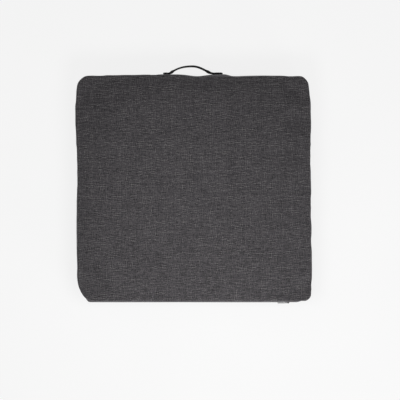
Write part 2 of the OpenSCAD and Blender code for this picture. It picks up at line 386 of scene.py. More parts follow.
def plain_weave(g, a, b, width, swell=(0.0, 0.0)):
    """A plain weave at a pitches across the warp and b across the weft, with width the yarns'
    share of their pitch and swell how much thicker each is there. Gives its height, 1 where the
    warp is on top, and 1 on a yarn and 0 in a gap."""
    sin_a, sin_b = g.math("SINE", a * math.pi), g.math("SINE", b * math.pi)
    warp_arch, on_warp = yarn(g, a, width + swell[0])
    weft_arch, on_weft = yarn(g, b, width + swell[1])
    warp = 0.45 * warp_arch + 0.42 * sin_b * g.math("SIGN", sin_a) - (1 - on_warp) * 1.4
    weft = 0.45 * weft_arch - 0.42 * sin_a * g.math("SIGN", sin_b) - (1 - on_weft) * 1.4
    top = g.step(warp - weft, -0.10, 0.10)
    height = g.math("MAXIMUM", g.math("MAXIMUM", warp, weft), -0.35)
    return height, top, g.math("MAXIMUM", on_warp, on_weft)


def slubs(g, along, line, seed):
    """How thick a yarn is along its length, and how thick the two beside it are, about 0."""
    def thickness(number):
        return g.noise(g.vector(along * SLUBS_A_METRE, number * 3.71, seed), 1, 2, 0.6) - 0.5
    return thickness(line), thickness(line - 1) + thickness(line + 1)


def cover_fabric():
    """Charcoal melange in a coarse plain weave, with slubs that run mostly along the weft. A thick
    yarn stands out of the cloth, and painted shade darkens the ones beside it."""
    g = new_material("cover_fabric")
    u, v = wandered(g, 1.5 * MM)
    a, b = u / WARP_PITCH, v / WEFT_PITCH
    warp_yarn, weft_yarn = g.math("FLOOR", a), g.math("FLOOR", b)
    weft_slub, beside_weft = slubs(g, u, weft_yarn, 0.0)
    warp_slub, beside_warp = slubs(g, v, warp_yarn, 9.3)
    height, top, on_yarn = plain_weave(g, a, b, 0.80, (warp_slub * 0.45, weft_slub * 0.55))
    ply_weft = g.noise(g.vector(u * 210, v * 1500, 2.2), 1, 3, 0.65)
    ply_warp = g.noise(g.vector(u * 1500, v * 210, 4.4), 1, 3, 0.65)
    hair = g.noise(g.vector(u, v), 1900, 2, 0.6)
    patches = g.noise(g.vector(u, v), 22, 3, 0.6)
    crossing = g.node("TexWhiteNoise", {"Vector": g.vector(warp_yarn, weft_yarn)}, noise_dimensions="3D")
    # painted shade: each yarn is darkened where the yarns beside it are thick
    weft_tone = (g.random(weft_yarn, 0.37) - 0.5) * 0.12 + weft_slub * WEFT_OWN - beside_weft * WEFT_BESIDE_SHADE
    warp_tone = (g.random(warp_yarn, 7.13) - 0.5) * 0.10 + warp_slub * WARP_OWN - beside_warp * WARP_BESIDE_SHADE
    tone = g.mix(top, weft_tone, warp_tone) + g.mix(top, ply_weft - 0.5, ply_warp - 0.5) * 1.45
    tone = tone + (patches - 0.5) * 0.15 + (hair - 0.5) * 0.25 + (crossing - 0.5) * 0.08 + 0.5
    # painted shade: the gaps between yarns are darker, and the weave's low places darker and its high
    # places lighter
    tone = tone * (0.35 + on_yarn * 0.65) + (height - 0.5) * 0.35
    colour = g.ramp(
        tone,
        (0.00, (0.012, 0.011, 0.012)),
        (0.36, (0.046, 0.043, 0.047)),
        (0.55, (0.076, 0.071, 0.076)),
        (0.78, (0.136, 0.128, 0.134)),
        (1.00, (0.205, 0.195, 0.194)),
    )
    raised = height + g.mix(top, weft_slub, warp_slub) * 0.5 + g.mix(top, ply_weft, ply_warp) * 0.32
    roughness = 0.86 - height * 0.06 + (hair - 0.5) * 0.10
    return g.finish(
        colour, roughness, raised, 0.60 * MM, 0.70,
        Sheen_Weight=0.20,
        Sheen_Roughness=0.45,
        Sheen_Tint=(0.9, 0.9, 0.95, 1),
        Specular_IOR_Level=0.22,
    )


def webbing(name, dark, light, rib=2.2 * MM, pitch=1.6 * MM):
    """A dense woven tape. rib and pitch are its yarns' spacings along it and across it."""
    g = new_material(name)
    u, v = wandered(g, 0.25 * MM)
    height = plain_weave(g, u / rib, v / pitch, 0.96)[0]
    fibre = g.noise(g.vector(u * 300, v * 2600), 1, 3, 0.7)
    wear = g.noise(g.vector(u, v), 160, 3, 0.6)
    tone = (g.random(g.math("FLOOR", v / pitch), 2.2) - 0.5) * 0.25 + (fibre - 0.5) * 0.6
    # painted shade: the weave's low places and the gaps between yarns are darker, its high places lighter
    tone = tone + (wear - 0.5) * 0.4 + 0.5 + (height - 0.6) * 0.35
    colour = g.ramp(tone, (0.15, grey(dark)), (0.6, grey((dark + light) / 2)), (1.0, grey(light)))
    roughness = 0.82 - height * 0.12
    return g.finish(colour, roughness, height + fibre * 0.3, 0.35 * MM, 0.8, Specular_IOR_Level=0.06)


def twisted_thread(name, dark, light):
    """Two-ply thread: a fine diagonal twist along its length."""
    g = new_material(name)
    u, v = g.cloth_place()
    twist = g.math("SINE", u * 5200 + v * 4200) * 0.5 + 0.5
    fuzz = g.noise(g.vector(u * 1500, v * 900), 1, 2, 0.6)
    # painted shade and highlight: the twist's grooves are darker and its crowns lighter
    colour = g.ramp(twist * 0.6 + fuzz * 0.4, (0.1, grey(dark)), (0.9, grey(light)))
    return g.finish(colour, 0.42 + fuzz * 0.18, twist + fuzz * 0.3, 0.12 * MM, 0.7, Sheen_Weight=0.15)


def nylon():
    g = new_material("zip_coil")
    place = g.object_place()
    haze = g.noise(place, 900, 3, 0.6)
    colour = g.ramp(haze, (0.3, grey(0.009)), (0.75, grey(0.021)))
    return g.finish(colour, 0.30 + haze * 0.22, haze, 0.05 * MM, 0.4, Specular_IOR_Level=0.5)


def painted_metal():
    """Black lacquer on zinc, dulled by handling and scuffed here and there."""
    g = new_material("zip_metal")
    place = g.object_place()
    grain = g.noise(place, 2600, 3, 0.6)
    haze = g.noise(place, 320, 4, 0.6)
    scuff = g.step(g.noise(place, 650, 6, 0.75), 0.61, 0.70)
    wear = scuff * 0.6 + haze * 0.3
    colour = g.ramp(wear, (0.08, grey(0.013)), (0.32, grey(0.024)), (0.95, grey(0.14, 0.02)))
    return g.finish(
        colour, 0.30 + haze * 0.22, grain * 0.5 - scuff, 0.03 * MM, 0.5,
        Metallic=0.35 + scuff * 0.5,
        Coat_Weight=0.25,
        Coat_Roughness=0.22,
    )


def nonwoven():
    """Spun-bonded liner cloth, with its small welded dots."""
    g = new_material("liner")
    place = g.object_place()
    fibre = g.noise(place, 700, 5, 0.75)
    clouds = g.noise(place, 35, 3, 0.6)
    dots = g.step(g.cells(place, 420), 0.12, 0.42)
    tone = fibre * 0.5 + clouds * 0.3 + dots * 0.25
    colour = g.ramp(tone, (0.2, grey(0.55, 0.02)), (0.8, grey(0.80, 0.015)))
    return g.finish(colour, 0.78 + fibre * 0.15, dots + fibre * 0.5, 0.18 * MM, 0.7, Sheen_Weight=0.1)


def fibre_fill():
    """Lofted polyester: soft lumps under a tangle of long fibres."""
    g = new_material("wadding")
    place = g.object_place()
    lumps = g.noise(place, 55, 4, 0.6)
    tangle = g.node("TexNoise", {"Vector": place, "Scale": 260, "Detail": 5, "Distortion": 2.2})
    colour = g.ramp(tangle * 0.6 + lumps * 0.4, (0.25, grey(0.66, 0.01)), (0.7, grey(0.90, 0.012)))
    roughness = 0.92 + (tangle - 0.5) * 0.1
    return g.finish(
        colour, roughness, lumps * 2.2 + tangle, 0.9 * MM, 0.8,
        Sheen_Weight=0.35,
        Sheen_Roughness=0.5,
    )


def open_foam():
    """Cut polyurethane foam with open cells."""
    g = new_material("foam")
    place = g.object_place()
    pores = g.cells(place, 620)
    large = g.cells(place, 230)
    tint = g.noise(place, 30, 3)
    open_cell = g.step(pores, 0.08, 0.55)
    # painted shade: the hollows of the open cells are darker than the struts between them
    tone = open_cell * 0.55 + tint * 0.45
    colour = g.ramp(tone, (0.15, (0.60, 0.50, 0.24)), (0.8, (0.90, 0.82, 0.50)))
    roughness, height = 0.9 + (tint - 0.5) * 0.08, open_cell + g.step(large, 0.05, 0.4) * 0.8
    return g.finish(colour, roughness, height, 0.6 * MM, 0.8, Subsurface_Weight=0.05)


FABRIC = cover_fabric()
TAPE = webbing("zip_tape", 0.012, 0.045, 1.3 * MM, 0.9 * MM)
STRAP = webbing("handle_webbing", 0.016, 0.062)
THREAD = twisted_thread("thread", 0.022, 0.085)
NYLON = nylon()
METAL = painted_metal()
BACKING = webbing("backing", 0.42, 0.72, 1.2 * MM, 1.2 * MM)
LINER = nonwoven()
WADDING = fibre_fill()
FOAM = open_foam()

# -------- the closed cloth

NX, NY, NZ = 58, 56, 10  # cells of the cloth's lattice
INSET = COVER_T / 2 + 1.0 * MM  # the cloth starts a little smaller than it ends
START_X, START_Y = SEAM_X - INSET, SEAM_Y - INSET  # half its size in plan
# each corner's radius across and along the cushion
CORNER_R = {
    (-1, -1): (37 * MM, 62 * MM),
    (1, -1): (14 * MM, 14 * MM),
    (-1, 1): (27 * MM, 27 * MM),
    (1, 1): (21 * MM, 21 * MM),
}
SIM_FRAMES = 20
MOST_MOVED = 13 * MM  # the filling moves no point of the cloth further than this
CLOTH = {
    "quality": 6,
    "mass": 0.3,
    "tension_stiffness": 30,
    "compression_stiffness": 24,
    "shear_stiffness": 8,
    "bending_stiffness": 2,
    "air_damping": 2,
    "use_pressure": True,
    "uniform_pressure_force": 0.8,
    "vertex_group_mass": "held",
    "vertex_group_shrink": "seam",
    "shrink_min": -0.002,
    "shrink_max": 0.004,
}


def rounded(x, y):
    """Plan points of the cloth's rectangle, moved to round each corner by its own two radii."""
    for (sx, sy), (across, along) in CORNER_R.items():
        a = (sx * x - (START_X - across)) / across
        b = (sy * y - (START_Y - along)) / along
        here = (a > 0) & (b > 0)
        a, b = np.clip(a, 0, 1), np.clip(b, 0, 1)
        x = np.where(here, sx * (START_X - across + across * a * np.sqrt(1 - b * b / 2)), x)
        y = np.where(here, sy * (START_Y - along + along * b * np.sqrt(1 - a * a / 2)), y)
    return x, y


def lattice():
    """Lattice places of a box's surface from 0 to 1, its quads, and each face's vertex numbers."""
    number = -np.ones((NX + 1, NY + 1, NZ + 1), int)
    i, j, k = np.indices(number.shape)
    outside = (i % NX == 0) | (j % NY == 0) | (k % NZ == 0)
    number[outside] = np.arange(outside.sum())
    places = np.stack([i[outside] / NX, j[outside] / NY, k[outside] / NZ], 1)
    faces = {
        "top": number[:, :, NZ],
        "bottom": number[:, :, 0].T,
        "zip": number[:, 0, :],
        "handle": number[:, NY, :].T,
        "right": number[NX, :, :],
        "left": number[0, :, :].T,
    }
    return places, np.concatenate([grid_faces(f) for f in faces.values()]), faces


def swollen(start, quads, seam):
    """The cloth's points once it has filled, with its seams drawn in."""
    obj = add_object("cloth", start, quads, outward=False)
    obj.vertex_groups.new(name="seam").add(np.flatnonzero(seam).tolist(), 1.0, "REPLACE")
    obj.vertex_groups.new(name="held").add(list(range(len(start))), 0.1, "REPLACE")
    cloth = obj.modifiers.new("cloth", "CLOTH")
    for setting, value in CLOTH.items():
        setattr(cloth.settings, setting, value)
    cloth.settings.effector_weights.gravity = 0
    cloth.collision_settings.use_collision = False
    cloth.point_cache.frame_start = 1
    cloth.point_cache.frame_end = SIM_FRAMES
    for f in range(1, SIM_FRAMES + 1):
        scene.frame_set(f)
    out = np.zeros(start.size)
    shown_mesh(obj).vertices.foreach_get("co", out)
    scene.frame_set(1)
    bpy.data.objects.remove(obj)
    return out.reshape(-1, 3)


# Where the filling pushes a wall out or lets it fall back: plan place, height and width of it.
SWELLS = (
    ((-HALF_W, 0.200), 3.0 * MM, 0.060),
    ((-HALF_W, -0.090), -1.3 * MM, 0.120),
    ((-HALF_W, -0.190), -0.8 * MM, 0.050),
    ((HALF_W, -0.195), 4.2 * MM, 0.085),
    ((HALF_W, 0.150), 2.2 * MM, 0.060),
    ((HALF_W, -0.020), 2.4 * MM, 0.055),
    ((-HALF_W, HANDLE_WALL), -3.5 * MM, 0.035),
    ((HALF_W, HANDLE_WALL), -6.0 * MM, 0.030),
    ((-0.085, HANDLE_WALL), 2.8 * MM, 0.050),
    ((0.010, HANDLE_WALL), -4.5 * MM, 0.020),
    ((0.112, HANDLE_WALL), -2.6 * MM, 0.036),
    ((0.220, HANDLE_WALL), -1.2 * MM, 0.060),
    ((0.000, ZIP_WALL), 1.5 * MM, 0.090),
)
ZIP_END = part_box("zip_tape_upper")[1].x
FOOT_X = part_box("handle_end_left")[0].x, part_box("handle_end_right")[1].x


def hollow(x):
    """How far the wall falls back between the handle's two feet."""
    depth, middle, width = 4.8 * MM, 10 * MM, 20 * MM
    return depth * np.exp(-((x - middle) ** 2) / (2 * width ** 2))


def within(distance, reach, fade):
    """1 near by, falling to 0 at reach over the last stretch, fade."""
    return ease((reach - distance) / fade)


def settled(points):
    """The form once it lies on the floor, is flat along the zip and held flat by the handle."""
    points = points.copy()
    x, y, z = points.T
    wall = ease((np.maximum(np.abs(x) / HALF_W, np.abs(y) / HANDLE_WALL) - 0.80) / 0.15)
    for (cx, cy), size, width in SWELLS:
        swell = np.exp(-((x - cx) ** 2 + (y - cy) ** 2) / (2 * width ** 2)) * wall * size
        if abs(cx) == HALF_W:
            points[:, 0] += np.sign(cx) * swell
        else:
            points[:, 1] += np.sign(cy) * swell
    x, y, z = points.T
    rise = np.abs(z - MID)
    along_zip = within(np.abs(x), ZIP_END + 14 * MM, 18 * MM) * within(rise, 34 * MM, 17 * MM)
    points[:, 1] += (ZIP_WALL + COVER_T / 2 - y) * (along_zip * (y < 0))
    centre, half = sum(FOOT_X) / 2, (FOOT_X[1] - FOOT_X[0]) / 2
    at_handle = within(np.abs(x - centre), half + 25 * MM, 18 * MM) * within(rise, 42 * MM, 24 * MM)
    points[:, 1] += (HANDLE_WALL - COVER_T / 2 - hollow(x) - y) * (at_handle * (y > 0))
    lowest, curl = COVER_T / 2 + 0.08 * MM, 3 * MM
    low = points[:, 2] - lowest
    points[:, 2] = lowest + np.where(low < curl, np.maximum(low + curl, 0) ** 2 / (4 * curl), low)
    return points


places, cloth_quads, FACE = lattice()
start_x, start_y = rounded((places[:, 0] * 2 - 1) * START_X, (places[:, 1] * 2 - 1) * START_Y)
start = np.stack([start_x, start_y, SEAM_LOW + places[:, 2] * (SEAM_HIGH - SEAM_LOW)], 1)
on_seam = ((places == 0) | (places == 1)).sum(1) > 1
filled = swollen(start, cloth_quads, on_seam)
shift = filled - start
length = np.linalg.norm(shift, axis=1, keepdims=True)
filled = start + shift * np.tanh(length / MOST_MOVED) * MOST_MOVED / np.maximum(length, 1e-9)
# the fullest place on each side and on top reaches the frame's own size, and the base sags more,
# so that it is pressed flat where it settles
filled[:, 0] *= (HALF_W + 0.6 * MM) / np.abs(filled[:, 0]).max()
filled[:, 1] *= (HANDLE_WALL - COVER_T / 2) / np.abs(filled[:, 1]).max()
crown = np.maximum(filled[:, 2] - SEAM_HIGH, 0)
filled[:, 2] += crown * ((HEIGHT - COVER_T / 2 - SEAM_HIGH) / crown.max() - 1)
filled[:, 2] -= np.maximum(SEAM_LOW - filled[:, 2], 0) * 0.6
form = settled(filled)
form_normals = vertex_normals(form, cloth_quads)

# -------- the cover's panels

ROLL = 2.6 * MM  # radius of a panel's edge where it turns into the seam
CELL = {
    "x": 2 * START_X / NX,
    "y": 2 * START_Y / NY,
    "z": (SEAM_HIGH - SEAM_LOW) / NZ,
}
# each face's lattice directions, and whether the cloth's length runs along the second
LAYOUT = {
    "top": ("x", "y", False),
    "bottom": ("y", "x", True),
    "zip": ("x", "z", False),
    "handle": ("z", "x", True),
    "right": ("y", "z", False),
    "left": ("z", "y", True),
}
NEAR_SEAM = [ROLL * (1 - math.cos(math.radians(a))) for a in (0, 18, 36, 54, 72, 90)]
NEAR_SEAM += [3.0 * MM, 4.6 * MM, 6.8 * MM, 9.8 * MM, 13.5 * MM]
DEPTHS = (1.6 * MM, 4.2 * MM, ALLOWANCE)
PAST_CORNER = 13 * MM  # allowances stop this far from a panel's corners
SEAM_GAP = 0.95 * MM  # how far a panel's edge draws back from the seam
LIP_ROLL = 0.9 * MM
SLOT = 5.5 * MM  # half the opening that the zip shows in
SLOT_CLOSED = 0.40 * MM  # the same past the zip's ends
SLOT_END = 258 * MM
# each edge of a panel: its line of the grid, and the way off the panel there
EDGES = {
    "a0": (np.s_[0, :], (-1, 0)),
    "a1": (np.s_[-1, :], (1, 0)),
    "b0": (np.s_[:, 0], (0, -1)),
    "b1": (np.s_[:, -1], (0, 1)),
}


def spaced(length, step):
    """Places along a length, close together near both ends."""
    near = np.array(NEAR_SEAM)
    middle = np.linspace(near[-1], length - near[-1], max(2, round((length - 2 * near[-1]) / step)))
    return np.concatenate([near[:-1], middle, length - near[:-1][::-1]])


def rolled(distance, radius=ROLL):
    """How far the surface is below its own plane, at a distance from the seam."""
    d = np.clip(distance, 0, radius)
    return radius - np.sqrt(np.maximum(radius ** 2 - (radius - d) ** 2, 0))


def puckers(distance, along, seed):
    """Small folds that run away from a seam, where its stitches have gathered the cloth."""
    fold = waves(along, 14 * MM, seed) * (0.55 + 0.45 * waves(along, 90 * MM, seed + 50))
    reach = 14 * MM + 8 * MM * waves(along, 33 * MM, seed + 80)
    return 0.75 * MM * fold * (1 - np.exp(-distance / (3 * MM))) * np.exp(-distance / reach)


def edge_frames(face, a, b):
    """Points, normals, and directions along both lattice axes of a face, at places a and b."""
    grid, step = form[FACE[face]], 0.05
    normals = unit(sample(form_normals[FACE[face]], a, b))
    forward_a = sample(grid, a + step, b) - sample(grid, a - step, b)
    forward_b = sample(grid, a, b + step) - sample(grid, a, b - step)
    return sample(grid, a, b), normals, unit(forward_a), unit(forward_b)


def lip(x):
    """How far a zip strip's free edge is from the middle of its wall, at places along it."""
    closing = ease((np.abs(x) - SLOT_END) / (7 * MM))
    return SLOT * (1 - closing) + SLOT_CLOSED * closing


def strip_columns(lip_at, strip, columns, cell, step):
    """Lattice columns of a zip strip's points, row by row, from its lip to the seam beyond."""
    middle = (columns - 1) / 2
    start = (lip_at / cell)[:, None]
    share = spaced(middle * cell, step * 0.6)
    from_middle = start + (middle - start) * (share / share[-1])[None, :]
    return middle + (from_middle if strip == "upper" else -from_middle[:, ::-1])


def cover_panel(name, face, replaced, seed, step=3.6 * MM, strip=None):
    """A panel of the cover, with its edges rolled into the seams and its allowances inside.
    strip is "upper" or "lower" for the two halves of the wall with the zip."""
    first, second, turned = LAYOUT[face]
    cell_a, cell_b = CELL[first], CELL[second]
    rows, columns = FACE[face].shape
    length_a, length_b = (rows - 1) * cell_a, (columns - 1) * cell_b
    a = spaced(length_a, step) / cell_a
    if strip:
        B = strip_columns(lip(a * cell_a - length_a / 2), strip, columns, cell_b, step)
        A = np.broadcast_to(a[:, None], B.shape)
        first_b, last_b = B[:, :1], B[:, -1:]
    else:
        A, B = np.meshgrid(a, spaced(length_b, step) / cell_b, indexing="ij")
        first_b, last_b = 0, columns - 1
    opening = {"upper": "b0", "lower": "b1"}.get(strip)
    points, normals, along_a, along_b = edge_frames(face, A, B)
    distance = {
        "a0": A * cell_a,
        "a1": (rows - 1 - A) * cell_a,
        "b0": (B - first_b) * cell_b,
        "b1": (last_b - B) * cell_b,
    }
    drop, shift = np.zeros_like(A), np.zeros(points.shape)
    lip_drop = rolled(distance[opening], LIP_ROLL) if opening else np.zeros_like(A)
    calm = 0.7 if face in ("handle", "zip") else 1.0
    for k, edge in enumerate(EDGES):
        if edge == opening:
            continue
        away, place = (along_a, B * cell_b) if edge[0] == "a" else (along_b, A * cell_a)
        apart = SEAM_GAP * np.exp(-distance[edge] / (1.0 * MM))
        shift += away * apart[..., None] * (1 if edge[1] == "0" else -1)
        drop = np.maximum(drop, rolled(distance[edge]))
        drop = drop - puckers(distance[edge], place, seed + 7 * k) * calm
    surface = points + shift - normals * (drop + lip_drop / 2)[..., None]
    uv = np.stack([B * cell_b, A * cell_a] if turned else [A * cell_a, B * cell_b], -1)

    main, count = numbered(A), A.size
    all_points, all_uv, quads = [surface.reshape(-1, 3)], [uv.reshape(-1, 2)], [grid_faces(main)]
    for edge, (line, direction) in EDGES.items():
        if edge == opening:
            continue
        ends = ("b0", "b1") if edge[0] == "a" else ("a0", "a1")
        from_ends = np.minimum(distance[ends[0]][line], distance[ends[1]][line])
        keep = np.flatnonzero(from_ends > PAST_CORNER)
        direction = np.array(direction[::-1] if turned else direction)
        block = [main[line][keep]]
        for depth in DEPTHS:
            all_points.append(surface[line][keep] - normals[line][keep] * depth)
            all_uv.append(uv[line][keep] + direction * depth)
            block.append(np.arange(count, count + len(keep)))
            count += len(keep)
        block = np.array(block[::-1] if edge[1] == "0" else block)
        quads.append(grid_faces(block if edge[0] == "a" else block.T))
    layer = np.full((count, 1), COVER_T)
    layer[: A.size, 0] -= lip_drop.ravel()
    all_points, all_uv, quads = (np.concatenate(rows) for rows in (all_points, all_uv, quads))
    obj = sharp_rims(add_sheet(name, all_points, all_uv, layer, quads), 60)
    dress(obj, FABRIC, replaced=replaced)
    width = length_b / 2 if strip else length_b
    cut = sorted((length_a + 2 * ALLOWANCE, width + 2 * ALLOWANCE))


cover_panel("cover_top", "top", ["top_panel"], 1, step=4.2 * MM)
cover_panel("cover_bottom", "bottom", ["bottom_panel"], 2, step=4.2 * MM)
cover_panel("cover_side_left", "left", ["side_wall_left"], 3)
cover_panel("cover_side_right", "right", ["side_wall_right"], 4)
cover_panel("cover_side_handle", "handle", ["side_wall_handle"], 5)
cover_panel("cover_zip_upper", "zip", ["side_wall_zip_upper"], 6, strip="upper")
cover_panel("cover_zip_lower", "zip", ["side_wall_zip_lower"], 8, strip="lower")

# -------- the filling

CENTRE = np.array([0, 0, (SEAM_LOW + SEAM_HIGH) / 2])
FORM_HALF = np.array([HALF_W, HANDLE_WALL, HEIGHT / 2])


def nested(side, face, seam=None):
    """The filled form drawn in by side on its walls and by face above and below, and by seam
    along the seams, whose allowances it stays clear of."""
    scale = 1 - np.array([side, side, face]) / FORM_HALF
    inside = CENTRE + (form - CENTRE) * scale
    if seam:
        inside[on_seam] = (form - form_normals * seam)[on_seam]
    return inside


SLEEVE = np.concatenate([grid_faces(FACE[f]) for f in ("top", "bottom", "zip", "handle")])
ENDS = {"left": grid_faces(FACE["left"]), "right": grid_faces(FACE["right"])}


def shell(name, quads, outer, inner):
    """A layer inside the cover, over some of its quads, from outer in to inner."""
    points, faces = thick(outer, quads, inner=inner)
    used = sorted({n for f in faces for n in f})
    renumber = {n: k for k, n in enumerate(used)}
    faces = [[renumber[n] for n in f] for f in faces]
    return sharp_rims(add_object(name, points[used], faces, outward=False), 60)


liner_out, liner_in = nested(6.0 * MM, 3.0 * MM, 12.0 * MM), nested(6.5 * MM, 3.5 * MM, 12.5 * MM)
LUMP_WAYS = ((1, 0.3, 0.6), (-0.4, 1, 0.5), (0.6, 0.8, -0.7))
lumps = sum(waves(form @ np.array(way), 55 * MM, seed) for seed, way in enumerate(LUMP_WAYS))
wad_out = nested(8.4 * MM, 5.4 * MM, 15 * MM) + form_normals * (lumps * 0.5 * MM)[:, None]
wad_in = nested(17 * MM, 13 * MM)
foam_out = nested(18.6 * MM, 14.6 * MM)

liner = shell("inner_liner_cloth", cloth_quads, liner_out, liner_in)
dress(liner, LINER, replaced=["inner_liner"])
wrap = shell("wadding_wrap_fill", SLEEVE, wad_out, wad_in)
dress(wrap, WADDING, replaced=["wadding_wrap"])
for side in ("left", "right"):
    end = shell(f"wadding_end_{side}_fill", ENDS[side], wad_out, wad_in)
    dress(end, WADDING, replaced=[f"wadding_end_{side}"])
foam = add_object("foam_core_block", foam_out, cloth_quads)
dress(foam, FOAM, replaced=["foam_core"])

# -------- stitches

STITCH_RISE = 0.30 * MM
# one stitch, as shares of its length from its middle and shares of its rise
STITCH_SIDE = ((0.28, 0.85), (0.44, 0.1), (0.5, -0.45))
STITCH = [(-share, height) for share, height in STITCH_SIDE[::-1]] + [(0, 1.0), *STITCH_SIDE]


def stitch_row(start, end, out, pitch, length, radius):
    """Stitches in a straight row: each rises out of the cloth and dips into it again."""
    start, end, out = (np.array(p, float) for p in (start, end, out))
    run = end - start
    count = max(1, round(np.linalg.norm(run) / pitch))
    ahead = unit(run)
    parts = []
    for k in range(count):
        middle = start + run * (k + 0.5) / count
        path = [middle + ahead * length * share + out * (STITCH_RISE * h) for share, h in STITCH]
        parts.append(sweep(path, circle(radius), out))
    return parts


# -------- the zip

TAPE_OFF_WALL = 0.46 * MM  # from the wall's inner face to the tape's middle
TAPE_T = 0.7 * MM


def tape(half, sign):
    """A woven tape behind the slot, its free edge and its surface a little wavy."""
    low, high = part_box(f"zip_tape_{half}")
    a, b = np.linspace(low.x, high.x, 270), np.linspace(0, 1, 9)
    A, B = np.meshgrid(a, b, indexing="ij")
    near, far = sorted((low.z, high.z), key=lambda z: abs(z - MID))
    z = near + (far - near) * B + 0.25 * MM * waves(A, 60 * MM, 4) * B ** 2 * sign
    wall = form[FACE["zip"][:, NZ // 2]]
    wall_y = np.interp(A, wall[:, 0], wall[:, 1])
    y = wall_y + COVER_T / 2 + TAPE_OFF_WALL + 0.03 * MM * np.sin(B * 9)
    points, uv = np.stack([A, y, z], -1), np.stack([A, B * 15 * MM], -1)
    obj = sharp_rims(add_sheet(f"zip_tape_{half}_woven", points, uv, TAPE_T))
    dress(obj, TAPE, replaced=[f"zip_tape_{half}"])


COIL_PITCH = 1.5 * MM
COIL_WIRE = 0.34 * MM  # radius
TURN_POINTS = 12
LOOP_MIDDLE, LOOP_REACH = 1.55 * MM, 2.05 * MM  # from the chain's middle, up or down
LOOP_DEPTH, LOOP_LEAN = 0.52 * MM, 0.10 * MM


def coil(half, sign, offset):
    """A row of nylon loops, each hooked between two of the other row."""
    low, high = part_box(f"zip_coil_{half}")
    turns = int((high.x - low.x) / COIL_PITCH) - 1
    t = np.arange(turns * TURN_POINTS + 1) / TURN_POINTS
    angle = t * 2 * math.pi
    x = low.x + (t + offset) * COIL_PITCH - LOOP_LEAN * np.sin(angle * 2)
    y = (low.y + high.y) / 2 - LOOP_DEPTH * np.sin(angle)
    z = MID + sign * (LOOP_MIDDLE - LOOP_REACH * np.cos(angle))
    loops = sweep(np.stack([x, y, z], 1), circle(COIL_WIRE), (1, 0, 0))
    obj = add_object(f"zip_coil_{half}_loops", *loops)
    dress(obj, NYLON, replaced=[f"zip_coil_{half}"])


tape("upper", 1)
tape("lower", -1)
coil("upper", 1, 0.25)
coil("lower", -1, 0.75)

for node in ("zip_top_stops", "zip_bottom_stop"):
    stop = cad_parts[node]
    stop.data.materials.clear()
    stop.data.materials.append(METAL)
    weld = stop.modifiers.new("weld", "WELD")
    weld.merge_threshold = 0.01 * MM
    bevel = stop.modifiers.new("bevel", "BEVEL")
    bevel.width, bevel.segments, bevel.angle_limit = 0.28 * MM, 3, math.radians(40)


def plate(outlines, thickness, bevel, origin, axes):
    """A flat piece with an outline and holes, its edges rounded, laid on two axes from origin."""
    curve = bpy.data.curves.new("plate", "CURVE")
    curve.dimensions, curve.fill_mode = "2D", "BOTH"
    curve.extrude, curve.bevel_depth, curve.bevel_resolution = thickness / 2 - bevel, bevel, 2
    curve.offset = -bevel
    for outline in outlines:
        spline = curve.splines.new("POLY")
        spline.points.add(len(outline) - 1)
        spline.points.foreach_set("co", [c for x, y in outline for c in (x, y, 0, 1)])
        spline.use_cyclic_u = True
    obj = bpy.data.objects.new("plate", curve)
    scene.collection.objects.link(obj)
    b = bmesh.new()
    b.from_mesh(shown_mesh(obj))
    bmesh.ops.remove_doubles(b, verts=b.verts, dist=0.002 * MM)
    b.verts.index_update()
    flat = np.array([v.co for v in b.verts])
    faces = [[v.index for v in f.verts] for f in b.faces]
    b.free()
    bpy.data.objects.remove(obj)
    bpy.data.curves.remove(curve)
    across = np.cross(*np.array(axes, float))
    points = np.array(origin) + flat @ np.array([*axes, across], float)
    return points, faces, flat[:, :2]


def arc(cx, cy, r, first, last, count):
    """Points round a centre, between two angles in degrees."""
    angles = np.radians(np.linspace(first, last, count))
    return [(cx + r * math.cos(a), cy + r * math.sin(a)) for a in angles]


def rounded_box(x0, x1, half, r):
    """An outline from x0 to x1, half wide to each side, with round corners."""
    corners = (x1 - r, half - r), (x0 + r, half - r), (x0 + r, r - half), (x1 - r, r - half)
    return [p for k, (x, y) in enumerate(corners) for p in arc(x, y, r, 90 * k, 90 * k + 90, 6)]


XZ = (1, 0, 0), (0, 0, 1)
XY = (1, 0, 0), (0, 1, 0)
PIN_X, PIN_Y = 244 * MM, -294.55 * MM  # the axis that the pull turns about, along Z
SLIDER_LOW, SLIDER_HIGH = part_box("zip_slider")
OUTER_EDGE_Y, POST_Y = -290.9 * MM, -290.3 * MM  # the outer plate's sides, and the post's middle


def round_pin(radius, length, bevel, z):
    """A short round piece on the pull's axis."""
    return plate([arc(0, 0, radius, 0, 340, 18)], length, bevel, (PIN_X, PIN_Y, z), XY)


def slider_shell(crest_y, edge_y, thickness):
    """One plate of the slider: wide at the mouth, narrow at the tail, its sides turned in."""
    t, s = np.meshgrid(np.linspace(0, 1, 34), np.linspace(-1, 1, 25), indexing="ij")
    half = 4.0 * MM + 1.0 * MM * ease(t / 0.5)
    half = half * np.sqrt(1 - 0.55 * np.clip((t - 0.80) / 0.20, 0, 1) ** 2.5)
    half = half * np.sqrt(1 - 0.30 * np.clip((0.10 - t) / 0.10, 0, 1) ** 2)
    x = SLIDER_LOW.x + 0.3 * MM + (SLIDER_HIGH.x - SLIDER_LOW.x - 0.6 * MM) * t
    y = crest_y + (edge_y - crest_y) * (0.22 * s ** 2 + 0.78 * np.abs(s) ** 7)
    y = y + (edge_y - crest_y) * 0.35 * np.clip((t - 0.9) / 0.1, 0, 1) ** 2
    points = np.stack([x, y, MID + half * s], -1).reshape(-1, 3)
    points, faces = thick(points, grid_faces(numbered(t)), thickness)
    return points, faces, points[:, [0, 2]]


